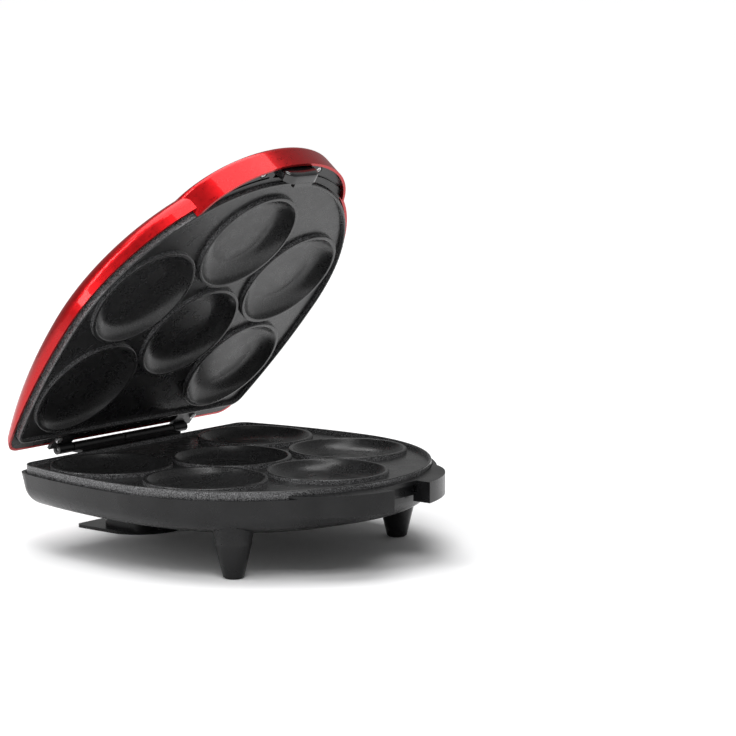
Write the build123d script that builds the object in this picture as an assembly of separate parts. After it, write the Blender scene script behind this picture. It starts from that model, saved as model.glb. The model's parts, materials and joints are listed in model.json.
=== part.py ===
"""Six-pocket arepa maker with a hinged lid, standing open as photographed.

Everything is first drawn with the lid shut, about the middle of the pocket pattern, with z = 0 in
the plane of the lower plate's rim. Pieces of the upper half are drawn by their depth behind the
plate's rim, the lower half uses the same drawings turned upside down, and the last section stands
the machine on its feet and swings the lid open about its hinge.
"""

from build123d import *
from math import acos, asin, atan2, cos, degrees, radians, sin, sqrt, tan
import os

# Pocket pattern, six pockets on a hexagonal grid
POCKET_PITCH = 100.0
POCKET_RADIUS = 45.4
POCKET_DEPTH = 10.0
POCKET_FLOOR_RADIUS = 28.0
RIDGE_WIDTH = 3.0
RIDGE_HEIGHT = 3.5
RIM_WIDTH = 2.4
CREST_FILLET = 0.9
PLATE_THICKNESS = 3.5
POCKET_BACK_RADIUS = 36.0

# Plan of the plates: a half circle in front, two long side arcs, a straight back
HALF_WIDTH = 147.0
SIDE_RADIUS = 470.0
MIDDLE_Y = -17.5
BACK_Y = 105.0
CORNER_RADIUS = 12.0

# Front lobes that carry the handle, half an ellipse in plan
LOBE_HALF_WIDTH = 91.0
LOBE_LENGTH = 65.0
LOBE_FRONT_Y = -186.0

# Heights over the table, and the gap between the two rims when shut
CREST_HEIGHT = 70.8
SHUT_GAP = 1.0

# Lower shell, a bowl with leaning walls and a sloping underside
SHELL_OVERHANG = 4.5
SHELL_TOP_DEPTH = 6.5
SHELL_WALL = 3.0
BOWL_LEAN = 12.0
BOWL_RADIUS = 18.0
BOWL_SLOPE = 14.0
BOWL_EDGE_DEPTH = 29.7
BOWL_DEPTH = 40.0
BOWL_CORNER_RADIUS = 18.0
PLATE_CLEARANCE = 0.8

# Handle wings on the lower shell, with the latch gap between them
WING_TOP_DEPTH = 4.0
WING_SKIRT_DEPTH = 20.5
WING_SKIN = 3.0
WING_GAP_HALF_WIDTH = 22.0
LEDGE_FRONT_Y = -171.0
KEEPER_DEPTH = 14.0
KEEPER_HALF_WIDTH = 24.0
KEEPER_BACK_Y = -167.3
KEEPER_BACK_WALL = 1.5

# Front feet, hollow cones with a flared root
FOOT_X = 100.6
FOOT_Y = -90.3
FOOT_TIP_RADIUS = 8.2
FOOT_TOP_RADIUS = 14.2
FOOT_TOP_DEPTH = 44.0
FOOT_FLARE_RADIUS = 19.5
FOOT_FLARE_DEPTH = 28.0
FOOT_CORE_RADIUS = 5.2
FOOT_CORE_LENGTH = 22.0
FOOT_PAD_RADIUS = 6.6
FOOT_PAD_THICKNESS = 3.0
FOOT_PAD_PROUD = 1.2

# Rear stand that the cord is wound on
STAND_HALF_WIDTH = 37.0
STAND_BACK_Y = 140.0
STAND_FRONT_Y = 64.0
STAND_FOOT_THICKNESS = 2.6
STAND_CORNER_RADIUS = 5.0
POST_HALF_WIDTH = 29.0
POST_BACK_Y = 119.0
POST_FRONT_Y = 72.0
POST_CORNER_RADIUS = 9.0
POST_TOP_DEPTH = 24.0
POST_WALL = 2.5
POST_WEB_THICKNESS = 3.0
POST_WEB_DEPTH = 50.0
STAND_SCREW_X = 16.0
STAND_SCREW_Y = 84.0
STAND_STUD_DEPTH = 24.0
STAND_HOLE_DEPTH = 28.0

# Upper shell, a vertical lip, a rounded shoulder and a low spherical crown
LID_LIP_DEPTH = 4.8
LID_WALL = 2.2
LID_BACK_Y = 118.5
LID_CORNER_RADIUS = 17.0
CROWN_DEPTH = 36.0
CROWN_RADIUS = 800.0
CROWN_Y = -27.0
SHOULDER_RADIUS = 13.0
LOBE_LIP_DEPTH = -1.0
LOBE_SHOULDER_RADIUS = 5.0

# Liner that closes the underside of the upper shell
LINER_SEAT_DEPTH = 7.0
LINER_THICKNESS = 2.5
LINER_LOBE_DEPTH = 2.5
LINER_CLEARANCE = 0.3
LINER_RING_INSET = 4.5
LINER_TAB_RADIUS = 6.0
GROOVE_RADIUS = 154.5
GROOVE_WIDTH = 2.0
GROOVE_DEPTH = 1.4
GROOVE_START = 9.0
GROOVE_SWEEP = 22.0

# Screws, all with the same thread and pan head
SCREW_RADIUS = 1.45
SCREW_HOLE_RADIUS = 1.5
SCREW_HEAD_RADIUS = 2.9
SCREW_HEAD_HEIGHT = 2.0
SCREW_HEAD_HOLE_RADIUS = 3.4
SCREW_CLEAR_RADIUS = 1.8
SCREW_BITE = 2.4
BOSS_RADIUS = 6.0
PLATE_SCREW_BACK = (121.0, 94.0)
PLATE_SCREW_FRONT = (62.0, -124.0)
PLATE_SCREW_SEAT_DEPTH = 12.0
LINER_SCREW_FRONT = (33.0, -173.5)
LINER_SCREW_BACK = (45.0, 110.5)
LINER_SCREW_HEAD_SINK = 2.2
LINER_BOSS_RADIUS = 3.6
LINER_SCREW_LENGTH = 12.0

# Heating: element ring, reflector tray, thermostat and thermal fuse
ELEMENT_RING_RADIUS = 75.0
ELEMENT_RING_Y = -10.0
ELEMENT_RADIUS = 3.0
ELEMENT_GAP = 0.2
ELEMENT_OPENING = 30.0
TERMINAL_RADIUS = 1.6
TERMINAL_LENGTH = 9.0
REFLECTOR_GAP = 0.6
REFLECTOR_INSET = 33.0
REFLECTOR_THICKNESS = 0.8
REFLECTOR_LIP = 4.0
REFLECTOR_CORNER_RADIUS = 10.0
REFLECTOR_PEG_RADIUS = 4.0
REFLECTOR_PEG_TIP_RADIUS = 2.0
REFLECTOR_PEG_TIP = 2.4
REFLECTOR_PEGS = [(42.0, 30.0), (-42.0, 30.0), (42.0, -50.0), (-42.0, -50.0)]
CONTROL_X = POCKET_PITCH / sqrt(3)
THERMOSTAT_RADIUS = 6.0
THERMOSTAT_HEIGHT = 8.0
THERMOSTAT_CAP_RADIUS = 4.2
THERMOSTAT_CAP_HEIGHT = 2.0
FUSE_RADIUS = 2.0
FUSE_LENGTH = 12.0
FUSE_CLIP_WIDTH = 6.0
FUSE_CLIP_WALL = 0.8

# Cord inlet bush in the back wall, and the terminal block behind it
INLET_X = 72.0
INLET_DEPTH = 20.0
BUSH_RADIUS = 6.0
BUSH_BORE_RADIUS = 3.5
BUSH_FLANGE_RADIUS = 8.5
BUSH_FLANGE_THICKNESS = 3.0
BUSH_INNER_FLANGE_RADIUS = 7.4
BUSH_INNER_Y = 93.0
BUSH_CLEARANCE = 0.15
BLOCK_LENGTH = 30.0
BLOCK_WIDTH = 11.0
BLOCK_HEIGHT = 9.0
BLOCK_Y = 84.0
BLOCK_SEAT_DEPTH = 30.0
BLOCK_HOLE_RADIUS = 2.2

# Indicator lights on the lid
GREEN_LENS_Y = 71.0
GREEN_LENS_HALF_WIDTH = 8.5
GREEN_LENS_HALF_LENGTH = 16.5
RED_LENS_Y = 36.0
RED_LENS_RADIUS = 6.3
LENS_PROUD = 1.1
LENS_CLEARANCE = 0.15
LENS_FLANGE = 2.0
LENS_FLANGE_THICKNESS = 1.4
LAMP_RADIUS = 1.2
LAMP_LENGTH = 12.0
CARRIER_WIDTH = 18.0
CARRIER_THICKNESS = 1.2

# Hinge: two long knuckles below, two short ones with ears above
OPEN_ANGLE = 50.47
HINGE_Y = 121.5
HINGE_Z = 1.44
KNUCKLE_RADIUS = 4.0
KNUCKLE_INNER_X = 1.0
KNUCKLE_OUTER_X = 59.0
EAR_INNER_X = 60.4
EAR_OUTER_X = 76.3
EAR_PLATE_OUTER_X = 84.0
PIN_RADIUS = 1.5
PIN_CLEARANCE = 0.05
PIN_INNER_X = 34.0
PIN_OUTER_X = 75.0
STRIP_THICKNESS = 2.6
STRIP_BOTTOM_Z = -20.0
STRIP_SEAT_GAP = 0.1
STRIP_SCREW_X = 44.0
STRIP_SCREW_Z = -13.0
STRIP_BOSS_LENGTH = 6.0
ARM_THICKNESS = 3.0
EAR_PLATE_THICKNESS = 2.6
EAR_PLATE_FRONT_Y = 106.5
EAR_SCREW_X = 80.0

# Swing latch in the lid's handle
LATCH_HALF_WIDTH = 19.0
LATCH_THICKNESS = 8.0
LATCH_TIP_DEPTH = -11.5
LATCH_INNER_CLEARANCE = 0.5
LATCH_CORNER_RADIUS = 7.0
LATCH_PIVOT_Y = -176.0
LATCH_PIVOT_DEPTH = 9.5
LATCH_BARREL_RADIUS = 3.8
LATCH_SWING = 10.0
HOOK_REACH = 2.8
HOOK_CLEARANCE = 0.3
LATCH_PIN_RADIUS = 1.5
LATCH_SIDE_GAP = 0.6
LATCH_EAR_THICKNESS = 3.0
LATCH_SLOT_BACK_Y = -169.5
LATCH_SLOT_FRONT_Y = -184.5

# Worked out from the sizes above
LOBE_MIDDLE_Y = LOBE_FRONT_Y + LOBE_LENGTH
FLOOR_DEPTH = RIDGE_HEIGHT
PLATE_BACK_DEPTH = FLOOR_DEPTH + PLATE_THICKNESS
POCKET_BACK_DEPTH = POCKET_DEPTH + PLATE_THICKNESS
ELEMENT_DEPTH = POCKET_BACK_DEPTH + ELEMENT_GAP + ELEMENT_RADIUS
REFLECTOR_DEPTH = ELEMENT_DEPTH + ELEMENT_RADIUS + REFLECTOR_GAP
REFLECTOR_BACK_DEPTH = REFLECTOR_DEPTH + REFLECTOR_THICKNESS
CARRIER_DEPTH = REFLECTOR_BACK_DEPTH
LAMP_DEPTH = CARRIER_DEPTH + CARRIER_THICKNESS + LAMP_RADIUS
LINER_BACK_DEPTH = LINER_SEAT_DEPTH + LINER_THICKNESS
LATCH_INNER_Y = LEDGE_FRONT_Y - LATCH_INNER_CLEARANCE
LEDGE_DEPTH = WING_TOP_DEPTH + WING_SKIN
SAME_HEIGHT = 0.05
FLAT = (Align.CENTER, Align.CENTER, Align.MIN)
SIDES = (-1, 1)


# Building blocks, drawn by depth behind the plate's rim
def outline(grow, corner, back=None):
    """Plan of the plates, grown outwards; back moves the straight edge on its own."""
    back_y = BACK_Y + grow if back is None else back
    side = SIDE_RADIUS + grow
    side_x = HALF_WIDTH - SIDE_RADIUS
    reach = asin((back_y - MIDDLE_Y) / side)
    corner_x = side_x + side * cos(reach)
    edges = [
        CenterArc((0, MIDDLE_Y), HALF_WIDTH + grow, 180, 60),
        CenterArc((0, MIDDLE_Y), HALF_WIDTH + grow, 240, 60),
        CenterArc((0, MIDDLE_Y), HALF_WIDTH + grow, 300, 60),
        CenterArc((side_x, MIDDLE_Y), side, 0, degrees(reach)),
        Line((corner_x, back_y), (-corner_x, back_y)),
        CenterArc((-side_x, MIDDLE_Y), side, 180 - degrees(reach), degrees(reach)),
    ]
    face = make_face(edges)
    return fillet(face.vertices().group_by(Axis.Y)[-1], radius=corner)


def slab(face, near, far):
    """A flat face thickened from the depth near to the depth far."""
    return extrude(Pos(0, 0, near) * face, far - near, dir=(0, 0, 1))


def rod(x, y, radius, near, far):
    """A round rod square to the plates."""
    return Pos(x, y, near) * Cylinder(radius, far - near, align=FLAT)


def cross_rod(y, z, radius, near_x, far_x):
    """A round rod along X."""
    turned = Rot(0, 90, 0) * Cylinder(radius, far_x - near_x, align=FLAT)
    return Pos(near_x, y, z) * turned


def block(near_x, far_x, near_y, far_y, near_z, far_z):
    """A box between three pairs of planes."""
    box = Box(far_x - near_x, far_y - near_y, far_z - near_z, align=(Align.MIN,) * 3)
    return Pos(near_x, near_y, near_z) * box


def revolved(lines):
    """A profile of X and Z turned once about Z."""
    return revolve(Plane.XZ * make_face(lines), Axis.Z)


def under(shape):
    """Turns a drawing of the upper half into one of the lower half."""
    return mirror(shape, about=Plane.XY)


def lobe_face(inset):
    """Plan of the handle lobe, drawn in by inset."""
    return Pos(0, LOBE_MIDDLE_Y) * Ellipse(LOBE_HALF_WIDTH - inset, LOBE_LENGTH - inset)


def pocket_centres():
    """Two columns of two pockets at the sides and two pockets down the middle."""
    step = POCKET_PITCH * sqrt(3) / 2
    half = POCKET_PITCH / 2
    sides = [(side * step, y) for side in SIDES for y in (half, -half)]
    return [(0.0, 0.0), (0.0, -POCKET_PITCH)] + sides


def plate_screw_places():
    return [(side * x, y) for side in SIDES for x, y in (PLATE_SCREW_BACK, PLATE_SCREW_FRONT)]


def liner_screw_places():
    return [(side * x, y) for side in SIDES for x, y in (LINER_SCREW_FRONT, LINER_SCREW_BACK)]


def screw(length):
    """A pan-head screw, its head below z = 0 and its shank above."""
    shank = Cylinder(SCREW_RADIUS, length, align=FLAT)
    head = Pos(0, 0, -SCREW_HEAD_HEIGHT) * Cylinder(SCREW_HEAD_RADIUS, SCREW_HEAD_HEIGHT, align=FLAT)
    head = fillet(head.edges().group_by(Axis.Z)[0], radius=SCREW_HEAD_HEIGHT * 0.4)
    slot = Pos(0, 0, -SCREW_HEAD_HEIGHT) * Box(0.8, SCREW_HEAD_RADIUS * 1.2, 1.4)
    cross = Rot(0, 0, 90) * slot
    return head + shank - slot - cross


def crown(offset):
    """The ball whose top is the lid's crown, shrunk by offset."""
    ball = Sphere(CROWN_RADIUS - offset)
    return Pos(0, CROWN_Y, CROWN_DEPTH - CROWN_RADIUS) * ball


def crown_depth(y):
    """Depth of the crown's outer face on the middle line."""
    return CROWN_DEPTH - CROWN_RADIUS + sqrt(CROWN_RADIUS**2 - (y - CROWN_Y) ** 2)


# The cooking plate, the same casting above and below
def pocket_wall_middle():
    """Middle of the arc that leaves the pocket's floor level and ends at its rim."""
    width = POCKET_RADIUS - POCKET_FLOOR_RADIUS
    radius = (width**2 + POCKET_DEPTH**2) / (2 * POCKET_DEPTH)
    half_turn = acos((radius - POCKET_DEPTH) / radius) / 2
    return POCKET_FLOOR_RADIUS + radius * sin(half_turn), POCKET_DEPTH - radius * (1 - cos(half_turn))


def cooking_plate():
    rim = outline(0, CORNER_RADIUS)
    inner = outline(-RIM_WIDTH, CORNER_RADIUS - RIM_WIDTH)
    body = slab(rim, 0, PLATE_BACK_DEPTH)
    floor = slab(inner, 0, FLOOR_DEPTH)
    for x, y in pocket_centres():
        floor -= rod(x, y, POCKET_RADIUS + RIDGE_WIDTH, 0, FLOOR_DEPTH)
    body -= floor
    back = revolved([
        Line((0, 0), (POCKET_RADIUS + RIDGE_WIDTH, 0)),
        Line((POCKET_RADIUS + RIDGE_WIDTH, 0), (POCKET_RADIUS + RIDGE_WIDTH - 1, PLATE_BACK_DEPTH)),
        Line((POCKET_RADIUS + RIDGE_WIDTH - 1, PLATE_BACK_DEPTH), (POCKET_BACK_RADIUS, POCKET_BACK_DEPTH)),
        Line((POCKET_BACK_RADIUS, POCKET_BACK_DEPTH), (0, POCKET_BACK_DEPTH)),
        Line((0, POCKET_BACK_DEPTH), (0, 0)),
    ])
    dish = revolved([
        Line((0, POCKET_DEPTH), (POCKET_FLOOR_RADIUS, POCKET_DEPTH)),
        ThreePointArc((POCKET_FLOOR_RADIUS, POCKET_DEPTH), pocket_wall_middle(), (POCKET_RADIUS, 0)),
        Line((POCKET_RADIUS, 0), (0, 0)),
        Line((0, 0), (0, POCKET_DEPTH)),
    ])
    for x, y in pocket_centres():
        body += Pos(x, y) * back
    for x, y in pocket_centres():
        body -= Pos(x, y) * dish
    crests = body.faces().filter_by(Axis.Z).group_by(Axis.Z)[0].edges()
    body = fillet(crests, radius=CREST_FILLET)
    for x, y in plate_screw_places():
        body -= rod(x, y, SCREW_HOLE_RADIUS, PLATE_BACK_DEPTH - SCREW_BITE - 0.2, PLATE_BACK_DEPTH)
    return body


# Heating parts, the same above and below
def element():
    """A sheathed ring with an opening at the back and two straight terminals."""
    start = 90 + ELEMENT_OPENING / 2
    sweep_angle = 360 - ELEMENT_OPENING
    ring = CenterArc((0, 0), ELEMENT_RING_RADIUS, start, sweep_angle)
    section = Plane(origin=ring @ 0, z_dir=ring % 0) * Circle(ELEMENT_RADIUS)
    tube = sweep(section, path=ring)
    end_x = ELEMENT_RING_RADIUS * sin(radians(ELEMENT_OPENING / 2))
    end_y = ELEMENT_RING_RADIUS * cos(radians(ELEMENT_OPENING / 2))
    pin = Rot(-90, 0, 0) * Cylinder(TERMINAL_RADIUS, TERMINAL_LENGTH, align=FLAT)
    for side in SIDES:
        tube += Pos(side * (end_x + TERMINAL_RADIUS), end_y - 1, 0) * pin
    return Pos(0, ELEMENT_RING_Y, ELEMENT_DEPTH) * tube


def reflector():
    """A shallow tray behind the element, with its edge turned towards the plate."""
    outer = outline(-REFLECTOR_INSET, REFLECTOR_CORNER_RADIUS)
    inner = outline(-REFLECTOR_INSET - REFLECTOR_THICKNESS, REFLECTOR_CORNER_RADIUS - REFLECTOR_THICKNESS)
    tray = slab(outer, REFLECTOR_DEPTH - REFLECTOR_LIP, REFLECTOR_BACK_DEPTH)
    tray -= slab(inner, REFLECTOR_DEPTH - REFLECTOR_LIP, REFLECTOR_DEPTH)
    for x, y in REFLECTOR_PEGS:
        tray -= rod(x, y, REFLECTOR_PEG_TIP_RADIUS + 0.2, REFLECTOR_DEPTH, REFLECTOR_BACK_DEPTH)
    return tray


def reflector_peg(x, y, foot_depth):
    """A peg from the shell that carries the tray on its shoulder."""
    shoulder = rod(x, y, REFLECTOR_PEG_RADIUS, REFLECTOR_BACK_DEPTH, foot_depth)
    tip_start = REFLECTOR_BACK_DEPTH - REFLECTOR_PEG_TIP
    return shoulder + rod(x, y, REFLECTOR_PEG_TIP_RADIUS, tip_start, foot_depth)


# Lower shell
def bowl_edge(offset):
    """Outline growth at the bowl's mouth, and the depth where wall and underside would meet."""
    lean = tan(radians(BOWL_LEAN))
    slope = tan(radians(BOWL_SLOPE))
    outer_grow = SHELL_OVERHANG - (BOWL_EDGE_DEPTH - SHELL_TOP_DEPTH) * lean
    mouth = SHELL_OVERHANG - offset / cos(radians(BOWL_LEAN))
    fall = (outer_grow - mouth - SHELL_TOP_DEPTH * lean) * slope
    depth = (BOWL_EDGE_DEPTH + fall - offset / cos(radians(BOWL_SLOPE))) / (1 - lean * slope)
    return mouth, depth


def bowl(offset):
    """A leaning wall, a rounded edge and a sloping underside, drawn inwards by offset."""
    mouth, edge_depth = bowl_edge(offset)
    plan = Pos(0, 0, SHELL_TOP_DEPTH) * outline(mouth, BOWL_CORNER_RADIUS - offset)
    wall = extrude(plan, edge_depth - SHELL_TOP_DEPTH, dir=(0, 0, 1), taper=BOWL_LEAN)
    floor = wall.faces().sort_by(Axis.Z)[-1]
    body = wall + extrude(floor, bowl_bottom(offset) - edge_depth, dir=(0, 0, 1), taper=90 - BOWL_SLOPE)
    rim = [edge for edge in body.edges() if abs((edge @ 0.5).Z - edge_depth) < SAME_HEIGHT]
    return fillet(rim, radius=BOWL_RADIUS - offset)


def bowl_bottom(offset):
    return BOWL_DEPTH - offset


def foot(tip_depth):
    """A cone with a flared root, about its own axis."""
    return revolved([
        Line((0, FOOT_FLARE_DEPTH - 6), (FOOT_FLARE_RADIUS, FOOT_FLARE_DEPTH - 6)),
        Line((FOOT_FLARE_RADIUS, FOOT_FLARE_DEPTH - 6), (FOOT_FLARE_RADIUS, FOOT_FLARE_DEPTH)),
        ThreePointArc(
            (FOOT_FLARE_RADIUS, FOOT_FLARE_DEPTH),
            (FOOT_TOP_RADIUS + 2.0, FOOT_FLARE_DEPTH + 6.0),
            (FOOT_TOP_RADIUS, FOOT_TOP_DEPTH),
        ),
        Line((FOOT_TOP_RADIUS, FOOT_TOP_DEPTH), (FOOT_TIP_RADIUS, tip_depth)),
        Line((FOOT_TIP_RADIUS, tip_depth), (0, tip_depth)),
        Line((0, tip_depth), (0, FOOT_FLARE_DEPTH - 6)),
    ])


def lower_shell():
    tip_depth = CREST_HEIGHT - FOOT_PAD_PROUD
    shell = bowl(0)
    for side in SIDES:
        shell += Pos(side * FOOT_X, FOOT_Y) * foot(tip_depth)
    wings = slab(lobe_face(0), WING_TOP_DEPTH, WING_SKIRT_DEPTH)
    wings -= slab(lobe_face(SHELL_WALL), LEDGE_DEPTH, WING_SKIRT_DEPTH)
    gap = WING_GAP_HALF_WIDTH
    wings -= block(-gap, gap, LOBE_FRONT_Y - 1, LEDGE_FRONT_Y, 0, WING_SKIRT_DEPTH)
    for side in SIDES:
        inner, outer = sorted((side * gap, side * (gap + SHELL_WALL)))
        cheek = block(inner, outer, LOBE_FRONT_Y, LEDGE_FRONT_Y + 3, WING_TOP_DEPTH, WING_SKIRT_DEPTH)
        wings += cheek & slab(lobe_face(0), WING_TOP_DEPTH, WING_SKIRT_DEPTH)
    shell += wings
    shell -= slab(outline(PLATE_CLEARANCE, CORNER_RADIUS + PLATE_CLEARANCE), 0, SHELL_TOP_DEPTH + 0.01)
    shell -= bowl(SHELL_WALL)
    for side in SIDES:
        shell -= rod(side * FOOT_X, FOOT_Y, FOOT_CORE_RADIUS, tip_depth - FOOT_CORE_LENGTH, tip_depth)
        pad_hole = tip_depth - (FOOT_PAD_THICKNESS - FOOT_PAD_PROUD)
        shell -= rod(side * FOOT_X, FOOT_Y, FOOT_PAD_RADIUS, pad_hole, tip_depth)
    shell = add_keeper(shell)
    shell = add_lower_bosses(shell)
    return under(shell)


def add_keeper(shell):
    """The pocket under the ledge that the latch hooks into."""
    half = KEEPER_HALF_WIDTH
    wall = block(
        -half - 2, half + 2,
        KEEPER_BACK_Y, KEEPER_BACK_Y + KEEPER_BACK_WALL,
        SHELL_TOP_DEPTH, KEEPER_DEPTH + 2,
    )
    shell += wall
    shell -= block(-half, half, LEDGE_FRONT_Y - 0.5, KEEPER_BACK_Y, LEDGE_DEPTH, KEEPER_DEPTH)
    return shell


def add_lower_bosses(shell):
    """Bosses for the plate screws, the tray, the stand, the inlet and the hinge strip."""
    skin = bowl(SHELL_WALL / 2)
    for x, y in plate_screw_places():
        shell += rod(x, y, BOSS_RADIUS, PLATE_BACK_DEPTH, bowl_bottom(0)) & skin
    for x, y in REFLECTOR_PEGS:
        shell += reflector_peg(x, y, bowl_bottom(SHELL_WALL) + 1)
    for side in SIDES:
        stud = rod(side * STAND_SCREW_X, STAND_SCREW_Y, BOSS_RADIUS - 1, STAND_STUD_DEPTH, bowl_bottom(0))
        shell += stud & skin
        shell += cross_boss(side * STRIP_SCREW_X)
    shell += inlet_rod(BUSH_FLANGE_RADIUS, BUSH_INNER_Y, BACK_Y + SHELL_OVERHANG)
    seat = block(
        INLET_X - BLOCK_LENGTH / 2, INLET_X + BLOCK_LENGTH / 2,
        BLOCK_Y - BLOCK_WIDTH / 2, BLOCK_Y + BLOCK_WIDTH / 2,
        BLOCK_SEAT_DEPTH, bowl_bottom(0),
    )
    shell += seat & skin
    for x, y in plate_screw_places():
        shell -= rod(x, y, SCREW_CLEAR_RADIUS, PLATE_BACK_DEPTH, bowl_bottom(0) + 1)
        shell -= rod(x, y, SCREW_HEAD_HOLE_RADIUS, PLATE_SCREW_SEAT_DEPTH, bowl_bottom(0) + 1)
    for side in SIDES:
        shell -= rod(
            side * STAND_SCREW_X, STAND_SCREW_Y, SCREW_HOLE_RADIUS,
            STAND_HOLE_DEPTH, bowl_bottom(0) + 1,
        )
        shell -= strip_screw_hole(side * STRIP_SCREW_X)
    shell -= inlet_rod(BUSH_RADIUS + BUSH_CLEARANCE, BUSH_INNER_Y, HINGE_Y)
    return shell


def inlet_rod(radius, near_y, far_y):
    """A round rod along Y on the line of the cord inlet."""
    turned = Rot(-90, 0, 0) * Cylinder(radius, far_y - near_y, align=FLAT)
    return Pos(INLET_X, near_y, INLET_DEPTH) * turned


def strip_face_y():
    return BACK_Y + SHELL_OVERHANG + STRIP_SEAT_GAP


def cross_boss(x):
    """A boss on the inside of the back wall for one hinge strip screw."""
    length = STRIP_BOSS_LENGTH + SHELL_WALL
    turned = Rot(90, 0, 0) * Cylinder(BOSS_RADIUS - 1.5, length, align=FLAT)
    return Pos(x, strip_face_y() - STRIP_SEAT_GAP, -STRIP_SCREW_Z) * turned


def strip_screw_hole(x):
    length = STRIP_BOSS_LENGTH + SHELL_WALL
    turned = Rot(90, 0, 0) * Cylinder(SCREW_HOLE_RADIUS, length, align=FLAT)
    return Pos(x, strip_face_y() + 0.5, -STRIP_SCREW_Z) * turned


def foot_pads():
    far = CREST_HEIGHT
    near = far - FOOT_PAD_THICKNESS
    return [under(rod(side * FOOT_X, FOOT_Y, FOOT_PAD_RADIUS - 0.05, near, far)) for side in SIDES]


def inlet_bush():
    """The bored bush that the supply cord enters through."""
    outer_y = BACK_Y + SHELL_OVERHANG
    bush = inlet_rod(BUSH_RADIUS, BUSH_INNER_Y, outer_y + BUSH_FLANGE_THICKNESS)
    bush += inlet_rod(BUSH_FLANGE_RADIUS, outer_y, outer_y + BUSH_FLANGE_THICKNESS)
    bush += inlet_rod(BUSH_INNER_FLANGE_RADIUS, BUSH_INNER_Y - 2, BUSH_INNER_Y)
    bush -= inlet_rod(BUSH_BORE_RADIUS, BUSH_INNER_Y - 3, outer_y + BUSH_FLANGE_THICKNESS + 1)
    return under(bush)


def terminal_block():
    """Three-way block on its seat behind the inlet."""
    body = block(
        INLET_X - BLOCK_LENGTH / 2, INLET_X + BLOCK_LENGTH / 2,
        BLOCK_Y - BLOCK_WIDTH / 2, BLOCK_Y + BLOCK_WIDTH / 2,
        BLOCK_SEAT_DEPTH - BLOCK_HEIGHT, BLOCK_SEAT_DEPTH,
    )
    pitch = BLOCK_LENGTH / 3
    for way in (-1, 0, 1):
        well = rod(
            INLET_X + way * pitch, BLOCK_Y, BLOCK_HOLE_RADIUS,
            BLOCK_SEAT_DEPTH - BLOCK_HEIGHT, BLOCK_SEAT_DEPTH - BLOCK_HEIGHT / 2,
        )
        body -= well
    return under(body)


def plate_screws_below():
    length = PLATE_SCREW_SEAT_DEPTH - PLATE_BACK_DEPTH + SCREW_BITE
    one = Rot(180, 0, 0) * screw(length)
    return [under(Pos(x, y, PLATE_SCREW_SEAT_DEPTH) * one) for x, y in plate_screw_places()]


# Rear stand
def stand_foot_face():
    """Square behind, rounded in front."""
    shoulder_y = STAND_FRONT_Y + STAND_HALF_WIDTH * 0.8
    edges = [
        Line((-STAND_HALF_WIDTH, shoulder_y), (-STAND_HALF_WIDTH, STAND_BACK_Y)),
        Line((-STAND_HALF_WIDTH, STAND_BACK_Y), (STAND_HALF_WIDTH, STAND_BACK_Y)),
        Line((STAND_HALF_WIDTH, STAND_BACK_Y), (STAND_HALF_WIDTH, shoulder_y)),
        ThreePointArc(
            (STAND_HALF_WIDTH, shoulder_y), (0, STAND_FRONT_Y), (-STAND_HALF_WIDTH, shoulder_y)
        ),
    ]
    face = make_face(edges)
    return fillet(face.vertices().group_by(Axis.Y)[-1], radius=STAND_CORNER_RADIUS)


def post_face(inset):
    length = POST_BACK_Y - POST_FRONT_Y - 2 * inset
    face = RectangleRounded(2 * (POST_HALF_WIDTH - inset), length, POST_CORNER_RADIUS - inset)
    return Pos(0, (POST_BACK_Y + POST_FRONT_Y) / 2) * face


def rear_stand():
    """A hollow post under the back of the shell on a wide foot, for winding the cord."""
    foot_top = CREST_HEIGHT - STAND_FOOT_THICKNESS
    stand = slab(stand_foot_face(), foot_top, CREST_HEIGHT)
    stand += slab(post_face(0), POST_TOP_DEPTH, foot_top + 1)
    web_far = POST_WEB_DEPTH + POST_WEB_THICKNESS
    stand -= slab(post_face(POST_WALL), POST_TOP_DEPTH, POST_WEB_DEPTH)
    stand -= slab(post_face(POST_WALL), web_far, CREST_HEIGHT)
    for side in SIDES:
        x = side * STAND_SCREW_X
        stand += rod(x, STAND_SCREW_Y, BOSS_RADIUS - 1, POST_TOP_DEPTH, POST_WEB_DEPTH + 1)
        stand -= rod(x, STAND_SCREW_Y, SCREW_CLEAR_RADIUS, POST_TOP_DEPTH, web_far)
    stand -= bowl(0)
    return under(stand)


def stand_screws():
    web_far = POST_WEB_DEPTH + POST_WEB_THICKNESS
    length = web_far - STAND_HOLE_DEPTH - 0.5
    one = Rot(180, 0, 0) * screw(length)
    return [under(Pos(side * STAND_SCREW_X, STAND_SCREW_Y, web_far) * one) for side in SIDES]


# Hinge
def hinge_strip():
    """The lower leaf: a strip on the back wall with two long knuckles."""
    near = strip_face_y()
    strip = block(-KNUCKLE_OUTER_X, KNUCKLE_OUTER_X, near, near + STRIP_THICKNESS, STRIP_BOTTOM_Z, -1)
    bottom = HINGE_Z - KNUCKLE_RADIUS
    for side in SIDES:
        inner, outer = sorted((side * KNUCKLE_INNER_X, side * KNUCKLE_OUTER_X))
        strip += cross_rod(HINGE_Y, HINGE_Z, KNUCKLE_RADIUS, inner, outer)
        strip += block(inner, outer, near, HINGE_Y, bottom, bottom + ARM_THICKNESS)
    for side in SIDES:
        inner, outer = sorted((side * (KNUCKLE_INNER_X - 1), side * (KNUCKLE_OUTER_X + 1)))
        strip -= cross_rod(HINGE_Y, HINGE_Z, PIN_RADIUS, inner, outer)
        clear = Rot(-90, 0, 0) * Cylinder(SCREW_CLEAR_RADIUS, STRIP_THICKNESS + 2, align=FLAT)
        strip -= Pos(side * STRIP_SCREW_X, near - 1, STRIP_SCREW_Z) * clear
    return strip


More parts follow.
